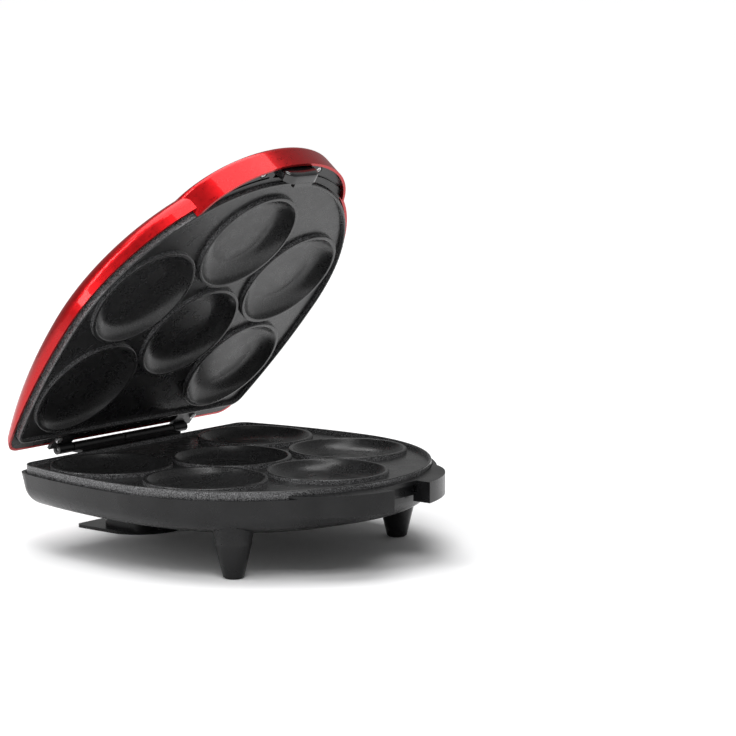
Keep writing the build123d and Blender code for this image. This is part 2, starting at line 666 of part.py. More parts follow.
def strip_screws():
    one = Rot(90, 0, 0) * screw(STRIP_THICKNESS + STRIP_BOSS_LENGTH)
    y = strip_face_y() + STRIP_THICKNESS
    return [Pos(side * STRIP_SCREW_X, y, STRIP_SCREW_Z) * one for side in SIDES]


def hinge_pin(side):
    inner, outer = sorted((side * PIN_INNER_X, side * PIN_OUTER_X))
    return cross_rod(HINGE_Y, HINGE_Z, PIN_RADIUS, inner, outer)


def lid_ear(side):
    """One short knuckle with the ear that carries the lid."""
    inner, outer = sorted((side * EAR_INNER_X, side * EAR_OUTER_X))
    plate_inner, plate_outer = sorted((side * EAR_INNER_X, side * EAR_PLATE_OUTER_X))
    top = SHUT_GAP + LID_LIP_DEPTH - 0.05
    ear = cross_rod(HINGE_Y, HINGE_Z, KNUCKLE_RADIUS, inner, outer)
    ear += block(plate_inner, plate_outer, EAR_PLATE_FRONT_Y, HINGE_Y, top - EAR_PLATE_THICKNESS, top)
    ear -= cross_rod(HINGE_Y, HINGE_Z, PIN_RADIUS + PIN_CLEARANCE, inner - 1, outer + 1)
    ear -= rod(side * EAR_SCREW_X, LINER_SCREW_BACK[1], SCREW_CLEAR_RADIUS, top - 5, top + 1)
    return ear


# Upper shell and what hangs in it
def crowned(plan, lip, inset, shoulder):
    """A plan raised from its lip to the crown, with a rounded shoulder."""
    body = slab(plan, lip, CROWN_DEPTH + 4) & crown(inset)
    return fillet(body.faces().sort_by(Axis.Z)[-1].edges(), radius=shoulder - inset)


def lid_body(inset, lip):
    plan = outline(SHELL_OVERHANG - inset, LID_CORNER_RADIUS - inset, LID_BACK_Y - inset)
    return crowned(plan, lip, inset, SHOULDER_RADIUS)


def lid_lobe(inset, lip):
    return crowned(lobe_face(inset), lip, inset, LOBE_SHOULDER_RADIUS)


def upper_shell():
    hollow_body = lid_body(LID_WALL, LID_LIP_DEPTH - 1)
    body = lid_body(0, LID_LIP_DEPTH) - hollow_body
    lobe = lid_lobe(0, LOBE_LIP_DEPTH) - lid_lobe(LID_WALL, LOBE_LIP_DEPTH - 1)
    shell = body + (lobe - lid_body(LID_WALL, LOBE_LIP_DEPTH - 1))
    shell -= slab(lobe_face(LID_WALL), LOBE_LIP_DEPTH, LINER_BACK_DEPTH + LINER_CLEARANCE)
    hollow = crown(LID_WALL / 2)
    for x, y in liner_screw_places():
        shell += rod(x, y, LINER_BOSS_RADIUS, LINER_BACK_DEPTH, CROWN_DEPTH) & hollow
        shell -= rod(x, y, SCREW_HOLE_RADIUS, LINER_BACK_DEPTH, LINER_SEAT_DEPTH + LINER_SCREW_LENGTH)
    for x, y in REFLECTOR_PEGS:
        shell += reflector_peg(x, y, CROWN_DEPTH) & hollow
    for face, y in ((green_face(LENS_CLEARANCE), GREEN_LENS_Y), (red_face(LENS_CLEARANCE), RED_LENS_Y)):
        shell -= slab(face, crown_depth(y) - LID_WALL - 4, CROWN_DEPTH + 4)
    return shell


def green_face(grow):
    return Pos(0, GREEN_LENS_Y) * Ellipse(GREEN_LENS_HALF_WIDTH + grow, GREEN_LENS_HALF_LENGTH + grow)


def red_face(grow):
    return Pos(0, RED_LENS_Y) * Circle(RED_LENS_RADIUS + grow)


def lens(face_of, y):
    """A window that stands a little proud, held by a flange behind the shell."""
    flange_gap = 0.1
    behind = crown(LID_WALL + flange_gap)
    floor = crown(LID_WALL + flange_gap + LENS_FLANGE_THICKNESS)
    near = crown_depth(y) - LID_WALL - 8
    window = slab(face_of(0), near, CROWN_DEPTH + 4) & crown(-LENS_PROUD)
    flange = slab(face_of(LENS_FLANGE), near, CROWN_DEPTH + 4) & behind
    window = window + flange - floor
    top = window.faces().sort_by(Axis.Z)[-1]
    return fillet(top.edges(), radius=LENS_PROUD * 0.7)


def liner():
    """The black frame under the lid: plate seat, back strip and handle lining."""
    wall = LID_WALL + LINER_CLEARANCE
    plan = outline(SHELL_OVERHANG - wall, LID_CORNER_RADIUS - wall, LID_BACK_Y - wall)
    room = lid_body(wall, 0)
    frame = slab(plan, LINER_SEAT_DEPTH, LINER_BACK_DEPTH) & room
    frame += slab(lobe_face(wall), LINER_LOBE_DEPTH, LINER_BACK_DEPTH)
    strip = slab(plan, LID_LIP_DEPTH, LINER_BACK_DEPTH)
    strip &= block(-HALF_WIDTH, HALF_WIDTH, BACK_Y - 12, LID_BACK_Y, 0, LINER_BACK_DEPTH)
    frame += strip & room
    opening = outline(PLATE_CLEARANCE, CORNER_RADIUS + PLATE_CLEARANCE)
    frame -= slab(opening, 0, LINER_SEAT_DEPTH)
    ring = outline(-LINER_RING_INSET, CORNER_RADIUS - LINER_RING_INSET)
    frame -= slab(ring, LINER_SEAT_DEPTH - 1, LINER_BACK_DEPTH)
    for x, y in plate_screw_places():
        frame += lid_screw_tab(x, y) & room
    for x, y in plate_screw_places():
        frame -= rod(x, y, SCREW_CLEAR_RADIUS, LINER_SEAT_DEPTH, LINER_BACK_DEPTH)
    half = LATCH_HALF_WIDTH + LATCH_SIDE_GAP
    frame -= block(-half, half, LATCH_SLOT_FRONT_Y, LATCH_SLOT_BACK_Y, 0, LINER_BACK_DEPTH)
    for side in SIDES:
        frame += latch_ear(side)
        frame -= handle_groove(side)
    pin_half = LATCH_HALF_WIDTH + LATCH_SIDE_GAP + LATCH_EAR_THICKNESS
    frame -= cross_rod(LATCH_PIVOT_Y, LATCH_PIVOT_DEPTH, LATCH_PIN_RADIUS, -pin_half, pin_half)
    for x, y in liner_screw_places():
        near = LINER_LOBE_DEPTH if y < 0 else LID_LIP_DEPTH
        frame -= rod(x, y, SCREW_CLEAR_RADIUS, near, LINER_BACK_DEPTH)
        frame -= rod(x, y, SCREW_HEAD_HOLE_RADIUS, near, near + LINER_SCREW_HEAD_SINK)
    for side in SIDES:
        frame -= rod(side * EAR_SCREW_X, LINER_SCREW_BACK[1], SCREW_HOLE_RADIUS, LID_LIP_DEPTH, LINER_BACK_DEPTH)
    return frame


def lid_screw_tab(x, y):
    """A round tab and a bridge from it out through the nearest edge of the lid."""
    tab = rod(x, y, LINER_TAB_RADIUS, LINER_SEAT_DEPTH, LINER_BACK_DEPTH)
    away = Pos(x, y, LINER_SEAT_DEPTH) * Rot(0, 0, degrees(atan2(y - MIDDLE_Y, x)))
    return tab + away * Box(
        HALF_WIDTH / 2, 2 * LINER_TAB_RADIUS, LINER_THICKNESS,
        align=(Align.MIN, Align.CENTER, Align.MIN),
    )


def latch_ear(side):
    """A lug beside the latch that holds its pin."""
    near = LATCH_HALF_WIDTH + LATCH_SIDE_GAP
    inner, outer = sorted((side * near, side * (near + LATCH_EAR_THICKNESS)))
    radius = LATCH_BARREL_RADIUS
    ear = cross_rod(LATCH_PIVOT_Y, LATCH_PIVOT_DEPTH, radius, inner, outer)
    ear += block(
        inner, outer, LATCH_PIVOT_Y - radius, LATCH_PIVOT_Y + radius, LINER_SEAT_DEPTH - 1, LATCH_PIVOT_DEPTH
    )
    return ear - cross_rod(LATCH_PIVOT_Y, LATCH_PIVOT_DEPTH, LATCH_PIN_RADIUS, inner - 1, outer + 1)


def handle_groove(side):
    """The long curved groove in the handle lining, beside the latch."""
    start = 270 + side * GROOVE_START if side > 0 else 270 - GROOVE_START - GROOVE_SWEEP
    outer = CenterArc((0, MIDDLE_Y), GROOVE_RADIUS + GROOVE_WIDTH / 2, start, GROOVE_SWEEP)
    inner = CenterArc((0, MIDDLE_Y), GROOVE_RADIUS - GROOVE_WIDTH / 2, start, GROOVE_SWEEP)
    ends = [Line(outer @ 0, inner @ 0), Line(outer @ 1, inner @ 1)]
    face = make_face([outer, inner] + ends)
    return slab(face, LINER_LOBE_DEPTH, LINER_LOBE_DEPTH + GROOVE_DEPTH)


def plate_screws_above():
    one = Rot(180, 0, 0) * screw(LINER_THICKNESS + SCREW_BITE)
    return [Pos(x, y, LINER_BACK_DEPTH) * one for x, y in plate_screw_places()]


def liner_screws():
    screws = []
    for x, y in liner_screw_places():
        near = LINER_LOBE_DEPTH if y < 0 else LID_LIP_DEPTH
        seat = near + LINER_SCREW_HEAD_SINK
        screws.append(Pos(x, y, seat) * screw(LINER_SCREW_LENGTH - 1))
    return screws


def ear_screws():
    top = LID_LIP_DEPTH - 0.05 - EAR_PLATE_THICKNESS
    one = screw(EAR_PLATE_THICKNESS + LINER_BACK_DEPTH - LID_LIP_DEPTH)
    return [Pos(side * EAR_SCREW_X, LINER_SCREW_BACK[1], top) * one for side in SIDES]


def thermostat():
    body = rod(CONTROL_X, 0, THERMOSTAT_RADIUS, PLATE_BACK_DEPTH, PLATE_BACK_DEPTH + THERMOSTAT_HEIGHT)
    far = PLATE_BACK_DEPTH + THERMOSTAT_HEIGHT + THERMOSTAT_CAP_HEIGHT
    return body + rod(CONTROL_X, 0, THERMOSTAT_CAP_RADIUS, PLATE_BACK_DEPTH, far)


def fuse_depth():
    return PLATE_BACK_DEPTH + FUSE_CLIP_WALL + FUSE_RADIUS


def thermal_fuse():
    turned = Rot(90, 0, 0) * Cylinder(FUSE_RADIUS, FUSE_LENGTH)
    return Pos(-CONTROL_X, 0, fuse_depth()) * turned


def fuse_clip():
    """A sheet clip that holds the fuse to the plate."""
    half = FUSE_RADIUS + FUSE_CLIP_WALL
    body = Pos(-CONTROL_X, 0, fuse_depth() - FUSE_RADIUS / 2) * Box(2 * half, FUSE_CLIP_WIDTH, 2 * half - FUSE_RADIUS)
    bore = Rot(90, 0, 0) * Cylinder(FUSE_RADIUS, FUSE_CLIP_WIDTH + 2)
    return body - Pos(-CONTROL_X, 0, fuse_depth()) * bore


def lamp_carrier():
    """The strip that carries both lamps under their windows."""
    near_y = RED_LENS_Y - RED_LENS_RADIUS
    far_y = GREEN_LENS_Y + GREEN_LENS_HALF_LENGTH / 2
    half = CARRIER_WIDTH / 2
    return block(-half, half, near_y, far_y, CARRIER_DEPTH, CARRIER_DEPTH + CARRIER_THICKNESS)


def lamps():
    return [cross_rod(y, LAMP_DEPTH, LAMP_RADIUS, -LAMP_LENGTH / 2, LAMP_LENGTH / 2)
            for y in (RED_LENS_Y, GREEN_LENS_Y)]


# Latch
def latch():
    """The swing latch, drawn shut and then turned out to where it rests."""
    half = LATCH_HALF_WIDTH
    outer_y = LATCH_INNER_Y - LATCH_THICKNESS
    body = block(-half, half, outer_y, LATCH_INNER_Y, LATCH_TIP_DEPTH, LATCH_PIVOT_DEPTH)
    tip_edges = body.edges().filter_by(Axis.Y).group_by(Axis.Z)[0]
    body = fillet(tip_edges, radius=LATCH_CORNER_RADIUS)
    hook_half = half - LATCH_CORNER_RADIUS
    hook_top = -LEDGE_DEPTH - HOOK_CLEARANCE - SHUT_GAP
    hook = block(
        -hook_half, hook_half,
        LATCH_INNER_Y, LEDGE_FRONT_Y + HOOK_REACH,
        LATCH_TIP_DEPTH, hook_top,
    )
    body += hook
    body += cross_rod(LATCH_PIVOT_Y, LATCH_PIVOT_DEPTH, LATCH_BARREL_RADIUS, -half, half)
    body -= cross_rod(LATCH_PIVOT_Y, LATCH_PIVOT_DEPTH, LATCH_PIN_RADIUS + PIN_CLEARANCE, -half - 1, half + 1)
    front = body.faces().sort_by(Axis.Y)[0]
    body = fillet(front.edges().filter_by(GeomType.CIRCLE), radius=1.5)
    pivot = Pos(0, LATCH_PIVOT_Y, LATCH_PIVOT_DEPTH)
    return pivot * Rot(-LATCH_SWING, 0, 0) * pivot.inverse() * body


def latch_pin():
    half = LATCH_HALF_WIDTH + LATCH_SIDE_GAP + LATCH_EAR_THICKNESS
    return cross_rod(LATCH_PIVOT_Y, LATCH_PIVOT_DEPTH, LATCH_PIN_RADIUS, -half, half)


# Standing the machine on its feet with the lid open, and writing each piece
WING_FRONT_Y = LOBE_MIDDLE_Y - LOBE_LENGTH * sqrt(1 - (WING_GAP_HALF_WIDTH / LOBE_HALF_WIDTH) ** 2)
MIDDLE = (WING_FRONT_Y + STAND_BACK_Y) / 2
STANDING = Pos(0, -MIDDLE, CREST_HEIGHT)
OPENED = Pos(0, HINGE_Y, HINGE_Z) * Rot(-OPEN_ANGLE, 0, 0) * Pos(0, -HINGE_Y, -HINGE_Z)
LIFTED = Pos(0, 0, SHUT_GAP)


def write(name, shapes, place):
    """One file for each node; a node of several solids is written as a group."""
    group = shapes if isinstance(shapes, list) else [shapes]
    solids = [place * solid for shape in group for solid in shape.solids()]
    shape = solids[0] if len(solids) == 1 else Compound(children=solids)
    shape.label = name
    export_step(shape, f"parts/{name}.step")


def main():
    os.makedirs("parts", exist_ok=True)
    plate = cooking_plate()
    coil = element()
    tray = reflector()
    lower = {
        "base_shell": lower_shell(),
        "base_plate": under(plate),
        "base_element": under(coil),
        "base_reflector": under(tray),
        "base_plate_screws": plate_screws_below(),
        "foot_pads": foot_pads(),
        "rear_stand": rear_stand(),
        "stand_screws": stand_screws(),
        "inlet_bush": inlet_bush(),
        "terminal_block": terminal_block(),
        "hinge_strip": hinge_strip(),
        "hinge_strip_screws": strip_screws(),
        "hinge_pin_left": hinge_pin(-1),
        "hinge_pin_right": hinge_pin(1),
    }
    upper = {
        "lid_shell": upper_shell(),
        "lid_liner": liner(),
        "lid_plate": plate,
        "lid_element": coil,
        "lid_reflector": tray,
        "lid_plate_screws": plate_screws_above(),
        "lid_liner_screws": liner_screws(),
        "lid_ear_screws": ear_screws(),
        "thermostat": thermostat(),
        "thermal_fuse": thermal_fuse(),
        "fuse_clip": fuse_clip(),
        "power_lens": lens(green_face, GREEN_LENS_Y),
        "ready_lens": lens(red_face, RED_LENS_Y),
        "lamp_carrier": lamp_carrier(),
        "lamps": lamps(),
        "latch_pin": latch_pin(),
        "latch": latch(),
    }
    for name, shape in lower.items():
        write(name, shape, STANDING)
    for name, shape in upper.items():
        write(name, shape, STANDING * OPENED * LIFTED)
    for name, side in (("lid_ear_left", -1), ("lid_ear_right", 1)):
        write(name, lid_ear(side), STANDING * OPENED)


if __name__ == "__main__":
    main()
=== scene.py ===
"""Finishes, floor, light and camera for the six-pocket arepa maker."""

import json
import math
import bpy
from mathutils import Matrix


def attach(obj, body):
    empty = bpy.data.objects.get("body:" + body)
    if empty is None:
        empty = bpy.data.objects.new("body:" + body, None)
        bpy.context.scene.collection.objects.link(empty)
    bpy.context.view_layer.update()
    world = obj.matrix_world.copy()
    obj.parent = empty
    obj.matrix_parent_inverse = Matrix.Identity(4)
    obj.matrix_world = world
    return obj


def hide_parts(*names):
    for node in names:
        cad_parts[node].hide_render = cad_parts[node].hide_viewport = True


bl_info = {
    "name": "Arepa Maker Studio",
    "version": (1, 0, 0),
    "blender": (4, 5, 0),
    "location": "3D View > Sidebar > Arepa Maker",
    "description": "Dresses the arepa maker's parts and sets a plain studio around them",
    "category": "Object",
}

import bmesh
import bpy
from mathutils import Matrix, Vector

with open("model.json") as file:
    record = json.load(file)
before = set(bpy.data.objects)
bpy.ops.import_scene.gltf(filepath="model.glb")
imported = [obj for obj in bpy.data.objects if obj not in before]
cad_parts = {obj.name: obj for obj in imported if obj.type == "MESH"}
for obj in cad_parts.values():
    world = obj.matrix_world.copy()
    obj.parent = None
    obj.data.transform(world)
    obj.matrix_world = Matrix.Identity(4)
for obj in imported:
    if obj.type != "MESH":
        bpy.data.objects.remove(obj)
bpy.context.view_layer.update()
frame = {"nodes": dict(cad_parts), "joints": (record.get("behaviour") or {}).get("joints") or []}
NODES = frame["nodes"]

# Plain colours, and a stretch that changes nothing
WHITE = (1.0, 1.0, 1.0)
BLACK = (0.0, 0.0, 0.0)
EVEN = (1.0, 1.0, 1.0)

# The photograph's camera: its place in metres, the way its back points, lens and sensor in mm
CAMERA_PLACE = (-1.6321, -1.4254, 0.4560)
CAMERA_BACK = (-0.7726, -0.6186, 0.1428)
CAMERA_LENS = 134.36
CAMERA_SENSOR = 36.0
CAMERA_CLIP_END = 200.0

# The way out of each cooking plate at rest, with the lid open as photographed
OPEN_ANGLE = math.radians(50.47)
BASE_UP = (0.0, 0.0, 1.0)
LID_UP = (0.0, math.sin(OPEN_ANGLE), math.cos(OPEN_ANGLE))

# The latch in metres from its pivot, as it hangs on the shut lid, with Y to the back
THUMB_HALF = 0.019
THUMB_FRONT = -0.0035
THUMB_BACK = 0.0045
THUMB_TIP = -0.021
THUMB_TOP = -0.0022
THUMB_CORNER = 0.0085
THUMB_CORNER_SEGMENTS = 8
THUMB_EDGE = 0.0026
THUMB_EDGE_SEGMENTS = 5
HOOK_HALF = 0.0105
HOOK_REACH = 0.0078
HOOK_TOP = -0.0178
HOOK_SINK = 0.001
BARREL_RADIUS = 0.0038
BARREL_BORE = 0.00156
BARREL_STEPS = 40

# At rest the latch is turned with the open lid, and swung out from it
LATCH_SWING = math.radians(10.0)
THUMB_TURN = OPEN_ANGLE + LATCH_SWING

# Numbers of the Y and Z axes in a vertex's place
BACKWARD = 1
UPWARD = 2

# Corners closer than this, in metres, are one. Faces that meet at more than the first angle
# shade as a sharp edge, and at more than the second they make the thumb piece's rim
MERGE_DISTANCE = 0.00001
SHARP_ANGLE = math.radians(35)
RIM_ANGLE = 0.5

# Cosine of the angle between a face and its plate: flat from the first up, steep below the second
FLAT_LEAN = 0.45
STEEP_LEAN = 0.15

# The part of the noise's range, which is 0 to 1, that carries a change of roughness
NOISE_LOW = 0.3
NOISE_HIGH = 0.7

# Sockets of a Mix node that is set to colour, which have namesakes for its other kinds
MIX_FACTOR = 0
MIX_FIRST = 6
MIX_SECOND = 7
MIX_RESULT = 2

# Studio light: the world's strength, and the floor's own glow by distance from the middle
WORLD_STRENGTH = 0.28
GLOW_NEAR = 0.45
GLOW_FAR = 2.4
GLOW_STRENGTH = 0.75

# Lamps: name, place, the point it faces, width and height in metres, power in watts
LAMPS = (
    ("key", (-0.9, -0.9, 1.5), (0.0, 0.0, 0.12), 1.0, 0.7, 15.0),
    ("top", (0.0, 0.3, 1.6), (0.0, 0.0, 0.1), 1.5, 1.5, 32.0),
    ("strip", (-1.3, 0.7, 1.0), (0.0, 0.0, 0.25), 0.22, 1.4, 11.0),
)

# Windows: the node, its material, and the deep and bright ends of its colour
WINDOWS = (
    ("power_lens", "green_window", (0.03, 0.36, 0.10), (0.10, 0.62, 0.22)),
    ("ready_lens", "red_window", (0.30, 0.004, 0.006), (0.52, 0.02, 0.02)),
)


class ArepaMakerSettings(bpy.types.PropertyGroup):
    """Colours and sizes that a user would change"""

    lid_red: bpy.props.FloatVectorProperty(
        name="Lid red", description="Body colour of the pearl lid", subtype="COLOR",
        size=3, min=0.0, max=1.0, default=(0.40, 0.0, 0.0015),
    )
    lid_pearl: bpy.props.FloatVectorProperty(
        name="Lid pearl", description="Colour of the flakes in the lid's finish",
        subtype="COLOR", size=3, min=0.0, max=1.0, default=(0.48, 0.0005, 0.004),
    )
    housing_black: bpy.props.FloatVectorProperty(
        name="Housing black", description="Colour of the moulded housing", subtype="COLOR",
        size=3, min=0.0, max=1.0, default=(0.004, 0.004, 0.0045),
    )
    coating_grey: bpy.props.FloatVectorProperty(
        name="Coating grey", description="Colour of the non-stick coating", subtype="COLOR",
        size=3, min=0.0, max=1.0, default=(0.009, 0.009, 0.0095),
    )
    # Colour of the plates' brightest specks, which also paints the highlight on their steep faces
    sparkle_and_rim_highlight: bpy.props.FloatVectorProperty(
        name="Rim sparkle", description="Brightest specks on the plates' steep edges",
        subtype="COLOR", size=3, min=0.0, max=1.0, default=(0.22, 0.22, 0.225),
    )
    floor_white: bpy.props.FloatVectorProperty(
        name="Floor white", description="Colour of the studio floor", subtype="COLOR",
        size=3, min=0.0, max=1.0, default=(0.90, 0.90, 0.905),
    )
    floor_width: bpy.props.FloatProperty(
        name="Floor width", description="Side of the studio floor", unit="LENGTH",
        default=90.0,
    )
    grain_size: bpy.props.FloatProperty(
        name="Grain size", description="Size of the housing's moulded grain", unit="LENGTH",
        default=0.0006, precision=5,
    )


# Shader helpers
class Finish:
    """A material with one principled shader and a few words for wiring patterns to it."""

    def __init__(self, name, colour, roughness, metallic=0.0):
        self.material = bpy.data.materials.new(name)
        self.material.use_nodes = True
        self.tree = self.material.node_tree
        self.tree.nodes.clear()
        output = self.add("ShaderNodeOutputMaterial")
        self.shader = self.add("ShaderNodeBsdfPrincipled")
        self.link(self.shader, "BSDF", output, "Surface")
        self.set("Base Color", (*colour, 1.0))
        self.set("Roughness", roughness)
        self.set("Metallic", metallic)
        self.material.diffuse_color = (*colour, 1.0)
        self.place = self.add("ShaderNodeTexCoord")

    def add(self, kind, **values):
        node = self.tree.nodes.new(kind)
        for key, value in values.items():
            setattr(node, key, value)
        return node

    def set(self, socket, value):
        self.shader.inputs[socket].default_value = value

    def link(self, source, out, target, into):
        self.tree.links.new(source.outputs[out], target.inputs[into])

    def noise(self, size, detail=2.0, stretch=EVEN):
        """Noise with blotches of about the given size in metres, times its stretch on each axis."""
        mapping = self.add("ShaderNodeMapping")
        mapping.inputs["Scale"].default_value = [1.0 / (size * part) for part in stretch]
        self.link(self.place, "Object", mapping, "Vector")
        node = self.add("ShaderNodeTexNoise")
        node.inputs["Scale"].default_value = 1.0
        node.inputs["Detail"].default_value = detail
        self.link(mapping, "Vector", node, "Vector")
        return node

    def ramp(self, source, out, stops):
        """Turns a value into colour between two stops, each a place and its colour."""
        node = self.add("ShaderNodeValToRGB")
        for element, (place, colour) in zip(node.color_ramp.elements, stops):
            element.position = place
            element.color = (*colour, 1.0)
        self.link(source, out, node, "Fac")
        return node

    def vary_colour(self, size, low, high, span=(0.35, 0.65), detail=3.0):
        """Body colour that drifts between two colours over the given span of the noise."""
        ramp = self.ramp(self.noise(size, detail), "Fac", [(span[0], low), (span[1], high)])
        self.link(ramp, "Color", self.shader, "Base Color")
        return ramp

    def span(self, source, out, start, end, low=0.0, high=1.0, way="LINEAR"):
        """Takes a value from one range to another."""
        node = self.add("ShaderNodeMapRange", interpolation_type=way)
        node.inputs["From Min"].default_value = start
        node.inputs["From Max"].default_value = end
        node.inputs["To Min"].default_value = low
        node.inputs["To Max"].default_value = high
        self.link(source, out, node, "Value")
        return node

    def vary_roughness(self, size, low, high, detail=3.0, stretch=EVEN):
        """Roughness that drifts between two values."""
        noise = self.noise(size, detail, stretch)
        span = self.span(noise, "Fac", NOISE_LOW, NOISE_HIGH, low, high)
        self.link(span, "Result", self.shader, "Roughness")

    def mix_by_slope(self, axis, flat, steep):
        """One colour on faces that look along an axis, another on faces that look across it."""
        lean = self.add("ShaderNodeVectorMath", operation="DOT_PRODUCT")
        lean.inputs[1].default_value = axis
        self.link(self.place, "Normal", lean, 0)
        size = self.add("ShaderNodeMath", operation="ABSOLUTE")
        self.link(lean, "Value", size, 0)
        span = self.span(size, "Value", FLAT_LEAN, STEEP_LEAN)
        blend = self.add("ShaderNodeMix", data_type="RGBA")
        self.link(span, "Result", blend, MIX_FACTOR)
        self.link(flat, "Color", blend, MIX_FIRST)
        self.link(steep, "Color", blend, MIX_SECOND)
        self.link(blend, MIX_RESULT, self.shader, "Base Color")

    def grain(self, size, height, detail=2.0, stretch=EVEN):
        """Bump of the given size and height in metres."""
        bump = self.add("ShaderNodeBump")
        bump.inputs["Strength"].default_value = 1.0
        bump.inputs["Distance"].default_value = height
        self.link(self.noise(size, detail, stretch), "Fac", bump, "Height")
        self.link(bump, "Normal", self.shader, "Normal")


def shade(names, finish):
    """Gives one finish to the slots of the named CAD pieces."""
    for name in names:
        mesh = NODES[name].data
        if not mesh.materials:
            mesh.materials.append(finish.material)
        for number in range(len(mesh.materials)):
            mesh.materials[number] = finish.material


def mixed(low, high, share):
    """A colour part of the way from one to another."""
    return tuple(a + (b - a) * share for a, b in zip(low, high))


# Mesh helpers
def add_block(shape, low, high):
    """A box between two corners, added to a bmesh."""
    verts = bmesh.ops.create_cube(shape, size=1.0)["verts"]
    size = [b - a for a, b in zip(low, high)]
    middle = [(a + b) / 2 for a, b in zip(low, high)]
    bmesh.ops.scale(shape, vec=size, verts=verts)
    bmesh.ops.translate(shape, vec=middle, verts=verts)


def edges_at(shape, axis, place):
    """The edges of a bmesh that lie in the plane square to an axis at a place."""
    def lies_there(edge):
        return all(abs(vert.co[axis] - place) < MERGE_DISTANCE for vert in edge.verts)

    return [edge for edge in shape.edges if lies_there(edge)]


def runs_back(edge):
    """Says whether an edge's two ends lie one behind the other."""
    return abs(edge.verts[0].co.x - edge.verts[1].co.x) < MERGE_DISTANCE


def is_rim(edge):
    """Says whether an edge is where two faces meet at a clear angle."""
    return len(edge.link_faces) == 2 and edge.calc_face_angle() > RIM_ANGLE


def round_edges(shape, edges, radius, segments):
    """Rounds the given edges of a bmesh."""
    bmesh.ops.bevel(
        shape, geom=edges, offset=radius, offset_type="OFFSET", segments=segments,
        profile=0.5, affect="EDGES", material=-1, clamp_overlap=True,
    )


def add_tube(shape, bore, radius, half_length):
    """A bored barrel along X, spun from its section."""
    ring = [
        (-half_length, bore), (half_length, bore), (half_length, radius), (-half_length, radius),
    ]
    verts = [shape.verts.new((x, 0.0, z)) for x, z in ring]
    edges = [shape.edges.new((verts[i], verts[(i + 1) % 4])) for i in range(4)]
    bmesh.ops.spin(
        shape, geom=verts + edges, cent=(0, 0, 0), axis=(1, 0, 0), dvec=(0, 0, 0),
        angle=math.tau, steps=BARREL_STEPS, use_merge=True, use_duplicate=False,
    )


def piece_from(shape, name, place, finish, body):
    """Turns a bmesh into a finished, placed piece that rides on a body."""
    bmesh.ops.remove_doubles(shape, verts=shape.verts, dist=MERGE_DISTANCE)
    bmesh.ops.recalc_face_normals(shape, faces=shape.faces)
    shape.transform(place)
    mesh = bpy.data.meshes.new(name)
    shape.to_mesh(mesh)
    shape.free()
    mesh.materials.append(finish.material)
    mesh.shade_smooth()
    mesh.set_sharp_from_angle(angle=SHARP_ANGLE)
    piece = bpy.data.objects.new(name, mesh)
    bpy.context.scene.collection.objects.link(piece)
    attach(piece, body)
    return piece


# Lamp helper
def softbox(name, place, target, width, height, power):
    """A rectangular white lamp that faces a point."""
    lamp = bpy.data.lights.new(name, "AREA")
    lamp.shape = "RECTANGLE"
    lamp.size = width
    lamp.size_y = height
    lamp.energy = power
    lamp.color = WHITE
    holder = bpy.data.objects.new(name, lamp)
    bpy.context.scene.collection.objects.link(holder)
    way = Vector(target) - Vector(place)
    holder.rotation_euler = way.to_track_quat("-Z", "Y").to_euler()
    holder.location = place


# Operators, one for each piece or group of like pieces
class AREPA_OT_red_lid(bpy.types.Operator):
    """Pearl red gloss on the domed lid"""

    bl_idname = "arepa.red_lid"
    bl_label = "Red Lid"

    def execute(self, context):
        settings = context.scene.arepa_maker
        red = tuple(settings.lid_red)
        pearl = tuple(settings.lid_pearl)
        finish = Finish("pearl_red", red, roughness=0.30, metallic=0.85)
        finish.vary_colour(size=0.0004, low=red, high=pearl, span=(0.35, 0.80), detail=1.0)
        finish.set("Coat Weight", 0.25)
        finish.set("Coat Roughness", 0.04)
        finish.set("Coat IOR", 1.5)
        finish.vary_roughness(size=0.004, low=0.26, high=0.34)
        shade(["lid_shell"], finish)
        return {"FINISHED"}


class AREPA_OT_cooking_plates(bpy.types.Operator):
    """Dark non-stick coating with a fine sprayed texture on both plates, and lighter specks on
    their steep faces that carry a painted highlight
    """

    bl_idname = "arepa.cooking_plates"
    bl_label = "Cooking Plates"

    def execute(self, context):
        settings = context.scene.arepa_maker
        grey = tuple(settings.coating_grey)
        sparkle_and_highlight = tuple(settings.sparkle_and_rim_highlight)
        darker = mixed(grey, BLACK, 0.35)
        lighter = mixed(grey, WHITE, 0.03)
        # Steep faces (the plates' skirts and the walls of the pocket rims) take lighter specks:
        # sprayed speckle with a painted highlight
        speck_and_highlight_stops = [(0.40, grey), (0.68, sparkle_and_highlight)]
        for node, axis in (("base_plate", BASE_UP), ("lid_plate", LID_UP)):
            finish = Finish(f"{node}_coating", grey, roughness=0.30)
            flat = finish.vary_colour(size=0.0009, low=darker, high=lighter, span=(0.4, 0.72))
            specks_and_highlight = finish.ramp(finish.noise(size=0.0008), "Fac", speck_and_highlight_stops)
            finish.mix_by_slope(axis, flat, specks_and_highlight)
            finish.vary_roughness(size=0.012, low=0.24, high=0.33)
            finish.grain(size=0.0011, height=0.00003, detail=3.0)
            finish.set("Specular IOR Level", 0.42)
            shade([node], finish)
        return {"FINISHED"}


class AREPA_OT_housing(bpy.types.Operator):
    """Satin black moulded plastic on the base, the lid's lining and the rear stand"""

    bl_idname = "arepa.housing"
    bl_label = "Housing"

    def execute(self, context):
        settings = context.scene.arepa_maker
        black = tuple(settings.housing_black)
        darker = mixed(black, BLACK, 0.3)
        lighter = mixed(black, WHITE, 0.004)
        finish = Finish("moulded_black", black, roughness=0.30)
        finish.set("Specular IOR Level", 0.28)
        finish.vary_colour(size=0.03, low=darker, high=lighter)
        finish.vary_roughness(size=0.02, low=0.24, high=0.31)
        finish.grain(size=settings.grain_size, height=0.00002)
        shade(["base_shell", "lid_liner", "rear_stand", "inlet_bush"], finish)
        return {"FINISHED"}


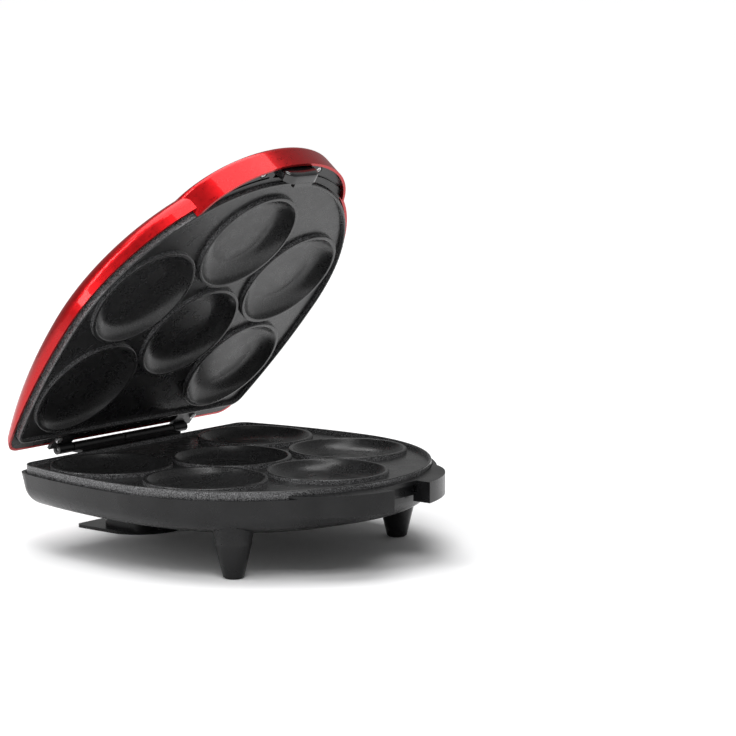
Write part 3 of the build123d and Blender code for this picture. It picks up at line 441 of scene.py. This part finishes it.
class AREPA_OT_latch(bpy.types.Operator):
    """Rounded gloss-black thumb piece with its barrel and hook"""

    bl_idname = "arepa.latch"
    bl_label = "Latch"

    def execute(self, context):
        black = tuple(context.scene.arepa_maker.housing_black)
        finish = Finish("gloss_black", black, roughness=0.12)
        finish.vary_roughness(size=0.006, low=0.09, high=0.17)
        finish.vary_colour(size=0.02, low=black, high=mixed(black, WHITE, 0.006))
        finish.grain(size=0.004, height=0.00001)
        finish.set("Coat Weight", 0.5)
        finish.set("Coat Roughness", 0.06)
        shape = bmesh.new()
        add_block(
            shape, (-THUMB_HALF, THUMB_FRONT, THUMB_TIP), (THUMB_HALF, THUMB_BACK, THUMB_TOP),
        )
        corner_edges = [edge for edge in edges_at(shape, UPWARD, THUMB_TIP) if runs_back(edge)]
        round_edges(shape, corner_edges, THUMB_CORNER, THUMB_CORNER_SEGMENTS)
        rim = [edge for edge in edges_at(shape, BACKWARD, THUMB_FRONT) if is_rim(edge)]
        round_edges(shape, rim, THUMB_EDGE, THUMB_EDGE_SEGMENTS)
        add_block(
            shape, (-HOOK_HALF, THUMB_BACK - HOOK_SINK, THUMB_TIP),
            (HOOK_HALF, HOOK_REACH, HOOK_TOP),
        )
        add_tube(shape, BARREL_BORE, BARREL_RADIUS, THUMB_HALF)
        joint = next(j for j in frame["joints"] if j["name"] == "latch_pivot")
        place = Matrix.Translation(joint["pos_m"]) @ Matrix.Rotation(-THUMB_TURN, 4, "X")
        piece = piece_from(shape, "swing_latch", place, finish, "latch")
        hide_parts("latch")
        return {"FINISHED"}


class AREPA_OT_hinge(bpy.types.Operator):
    """Baked black enamel on the hinge leaves"""

    bl_idname = "arepa.hinge"
    bl_label = "Hinge"

    def execute(self, context):
        black = tuple(context.scene.arepa_maker.housing_black)
        lighter = mixed(black, WHITE, 0.02)
        finish = Finish("black_enamel", black, roughness=0.32)
        finish.vary_colour(size=0.003, low=black, high=lighter, span=(0.55, 0.75))
        finish.vary_roughness(size=0.004, low=0.26, high=0.40)
        finish.grain(size=0.0009, height=0.00003)
        shade(["hinge_strip", "lid_ear_left", "lid_ear_right"], finish)
        return {"FINISHED"}


class AREPA_OT_windows(bpy.types.Operator):
    """Clear coloured plastic on the two windows, and the lamps behind them"""

    bl_idname = "arepa.windows"
    bl_label = "Windows"

    def execute(self, context):
        for node, name, deep, bright in WINDOWS:
            finish = Finish(name, bright, roughness=0.10)
            finish.vary_colour(size=0.004, low=deep, high=bright)
            finish.grain(size=0.0016, height=0.00006, detail=1.0)
            finish.set("Transmission Weight", 0.45)
            finish.set("IOR", 1.49)
            finish.set("Coat Weight", 0.6)
            finish.set("Coat Roughness", 0.03)
            shade([node], finish)
        glass = Finish("lamp_glass", (0.90, 0.90, 0.88), roughness=0.05)
        glass.set("Transmission Weight", 0.9)
        glass.set("IOR", 1.5)
        glass.vary_roughness(size=0.003, low=0.03, high=0.10)
        shade(["lamps"], glass)
        return {"FINISHED"}


class AREPA_OT_metalwork(bpy.types.Operator):
    """Drawn, plated, sheathed and rolled metal on the small and inner pieces"""

    bl_idname = "arepa.metalwork"
    bl_label = "Metalwork"

    def execute(self, context):
        plated = Finish("zinc_plate", (0.56, 0.57, 0.58), roughness=0.30, metallic=1.0)
        plated.vary_colour(size=0.002, low=(0.48, 0.48, 0.47), high=(0.62, 0.62, 0.63))
        plated.vary_roughness(size=0.0012, low=0.22, high=0.42)
        plated.grain(size=0.0006, height=0.00002)
        shade([
            "base_plate_screws", "stand_screws", "hinge_strip_screws", "lid_plate_screws",
            "lid_liner_screws", "lid_ear_screws", "hinge_pin_left", "hinge_pin_right", "latch_pin",
        ], plated)
        sheath = Finish("heater_sheath", (0.30, 0.28, 0.26), roughness=0.45, metallic=1.0)
        sheath.vary_colour(size=0.012, low=(0.22, 0.20, 0.18), high=(0.42, 0.40, 0.37))
        sheath.vary_roughness(size=0.004, low=0.36, high=0.58)
        sheath.grain(size=0.0008, height=0.00003)
        shade(["base_element", "lid_element"], sheath)
        sheet = Finish("rolled_sheet", (0.70, 0.70, 0.71), roughness=0.35, metallic=1.0)
        sheet.vary_colour(size=0.02, low=(0.62, 0.62, 0.63), high=(0.74, 0.74, 0.75))
        sheet.vary_roughness(size=0.001, low=0.28, high=0.46, detail=2.0, stretch=(30.0, 1.0, 1.0))
        sheet.grain(size=0.0006, height=0.00002, stretch=(40.0, 1.0, 1.0))
        shade([
            "base_reflector", "lid_reflector", "lamp_carrier", "thermostat", "thermal_fuse",
            "fuse_clip",
        ], sheet)
        return {"FINISHED"}


class AREPA_OT_soft_and_white(bpy.types.Operator):
    """Matt rubber on the foot pads and white plastic on the terminal block"""

    bl_idname = "arepa.soft_and_white"
    bl_label = "Pads and Block"

    def execute(self, context):
        rubber = Finish("pad_rubber", (0.015, 0.015, 0.015), roughness=0.75)
        rubber.vary_colour(size=0.003, low=(0.010, 0.010, 0.010), high=(0.026, 0.025, 0.024))
        rubber.grain(size=0.0008, height=0.00008)
        shade(["foot_pads"], rubber)
        white = Finish("block_white", (0.80, 0.78, 0.72), roughness=0.45)
        white.vary_colour(size=0.008, low=(0.74, 0.72, 0.66), high=(0.84, 0.83, 0.78))
        white.grain(size=0.0007, height=0.00003)
        shade(["terminal_block"], white)
        return {"FINISHED"}


class AREPA_OT_stage(bpy.types.Operator):
    """White floor, soft lamps and the camera"""

    bl_idname = "arepa.stage"
    bl_label = "Stage"

    def execute(self, context):
        settings = context.scene.arepa_maker
        mesh = bpy.data.meshes.new("floor")
        shape = bmesh.new()
        bmesh.ops.create_grid(shape, x_segments=1, y_segments=1, size=settings.floor_width / 2)
        shape.to_mesh(mesh)
        shape.free()
        floor = bpy.data.objects.new("floor", mesh)
        context.scene.collection.objects.link(floor)
        white = tuple(settings.floor_white)
        paper = Finish("studio_paper", white, roughness=0.7)
        paper.vary_colour(size=0.4, low=mixed(white, BLACK, 0.004), high=white)
        self.brighten_far_floor(paper)
        mesh.materials.append(paper.material)
        self.light_world(context)
        for lamp in LAMPS:
            softbox(*lamp)
        self.place_camera(context)
        return {"FINISHED"}

    def brighten_far_floor(self, paper):
        """The sweep of paper glows where the lamps no longer reach it."""
        away = paper.add("ShaderNodeVectorMath", operation="LENGTH")
        paper.link(paper.place, "Object", away, "Vector")
        glow = paper.span(
            away, "Value", GLOW_NEAR, GLOW_FAR, high=GLOW_STRENGTH, way="SMOOTHSTEP",
        )
        paper.link(glow, "Result", paper.shader, "Emission Strength")
        paper.set("Emission Color", (*WHITE, 1.0))

    def light_world(self, context):
        """An even white surround, with colours shown as they are."""
        world = bpy.data.worlds.new("studio")
        world.use_nodes = True
        back = world.node_tree.nodes["Background"]
        back.inputs["Color"].default_value = (*WHITE, 1.0)
        back.inputs["Strength"].default_value = WORLD_STRENGTH
        context.scene.world = world
        context.scene.view_settings.view_transform = "Standard"

    def place_camera(self, context):
        """The photograph's camera, held level from side to side."""
        lens = bpy.data.cameras.new("photo_camera")
        lens.lens = CAMERA_LENS
        lens.sensor_width = CAMERA_SENSOR
        lens.clip_end = CAMERA_CLIP_END
        camera = bpy.data.objects.new("photo_camera", lens)
        context.scene.collection.objects.link(camera)
        back = Vector(CAMERA_BACK).normalized()
        right = Vector((0, 0, 1)).cross(back).normalized()
        up = back.cross(right)
        turn = Matrix((right, up, back)).transposed()
        camera.matrix_world = Matrix.Translation(CAMERA_PLACE) @ turn.to_4x4()
        context.scene.camera = camera


class AREPA_PT_panel(bpy.types.Panel):
    """Lists the sizes, colours and steps"""

    bl_idname = "AREPA_PT_panel"
    bl_label = "Arepa Maker"
    bl_space_type = "VIEW_3D"
    bl_region_type = "UI"
    bl_category = "Arepa Maker"

    def draw(self, context):
        settings = context.scene.arepa_maker
        for key in settings.bl_rna.properties.keys():
            if key not in ("rna_type", "name"):
                self.layout.prop(settings, key)
        for step in STEPS:
            self.layout.operator(step.bl_idname)


STEPS = (
    AREPA_OT_red_lid,
    AREPA_OT_cooking_plates,
    AREPA_OT_housing,
    AREPA_OT_latch,
    AREPA_OT_hinge,
    AREPA_OT_windows,
    AREPA_OT_metalwork,
    AREPA_OT_soft_and_white,
    AREPA_OT_stage,
)
CLASSES = (ArepaMakerSettings, *STEPS, AREPA_PT_panel)


def register():
    for kind in CLASSES:
        bpy.utils.register_class(kind)
    bpy.types.Scene.arepa_maker = bpy.props.PointerProperty(type=ArepaMakerSettings)


def unregister():
    del bpy.types.Scene.arepa_maker
    for kind in reversed(CLASSES):
        bpy.utils.unregister_class(kind)


def main():
    """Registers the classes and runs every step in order."""
    register()
    for step in STEPS:
        group, name = step.bl_idname.split(".")
        getattr(getattr(bpy.ops, group), name)()


if __name__ == "__main__":
    main()
